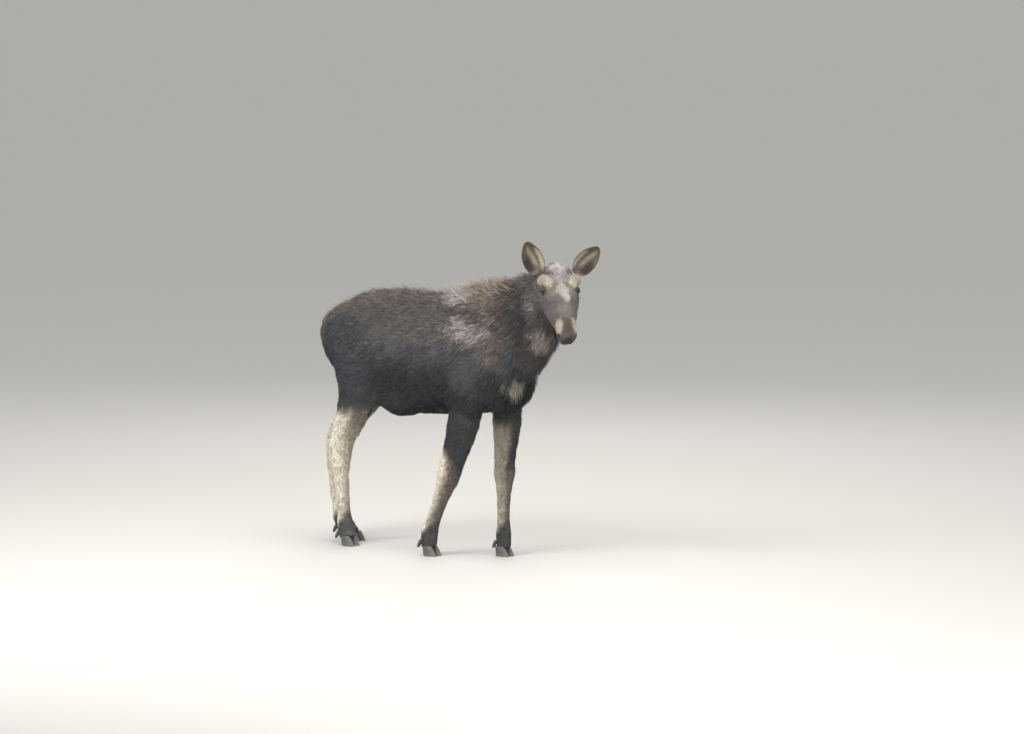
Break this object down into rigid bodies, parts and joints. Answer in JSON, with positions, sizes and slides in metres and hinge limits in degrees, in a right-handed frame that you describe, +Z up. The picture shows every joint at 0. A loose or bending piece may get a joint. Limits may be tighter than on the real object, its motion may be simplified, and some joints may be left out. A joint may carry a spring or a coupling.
{
  "type": "moose figure",
  "caption": "Life-size model of a standing young bull moose in its shaggy spring coat, head turned aside, with antler buds",
  "frame": {"origin": "floor under the centre of the bounding box", "axes": "+X along the body from rump to chest, +Y to the animal's left, +Z up"},
  "size_m": [2.316, 0.6078, 1.9501],
  "materials": {
    "body_coat": "matte",
    "head_coat": "matte",
    "leg_coat": "matte",
    "ear_coat": "matte",
    "bud_velvet": "velvet",
    "hoof_horn": "satin horn",
    "eye": "wet gloss"
  },
  "bodies": {
    "root": {"antler_bud_left": "bud_velvet", "antler_bud_right": "bud_velvet", "ear_left": "ear_coat", "ear_right": "ear_coat", "eye_left": "eye", "eye_right": "eye", "foreleg_left": "leg_coat", "foreleg_right": "leg_coat", "head": "head_coat", "hindleg_left": "leg_coat", "hindleg_right": "leg_coat", "hoof_fore_left_left_toe": "hoof_horn", "hoof_fore_left_right_toe": "hoof_horn", "hoof_fore_right_left_toe": "hoof_horn", "hoof_fore_right_right_toe": "hoof_horn", "hoof_hind_left_left_toe": "hoof_horn", "hoof_hind_left_right_toe": "hoof_horn", "hoof_hind_right_left_toe": "hoof_horn", "hoof_hind_right_right_toe": "hoof_horn", "left_dewclaw_fore_left": "hoof_horn", "left_dewclaw_fore_right": "hoof_horn", "left_dewclaw_hind_left": "hoof_horn", "left_dewclaw_hind_right": "hoof_horn", "neck": "body_coat", "right_dewclaw_fore_left": "hoof_horn", "right_dewclaw_fore_right": "hoof_horn", "right_dewclaw_hind_left": "hoof_horn", "right_dewclaw_hind_right": "hoof_horn", "tail": "body_coat", "trunk": "body_coat"}
  },
  "joints": []
}
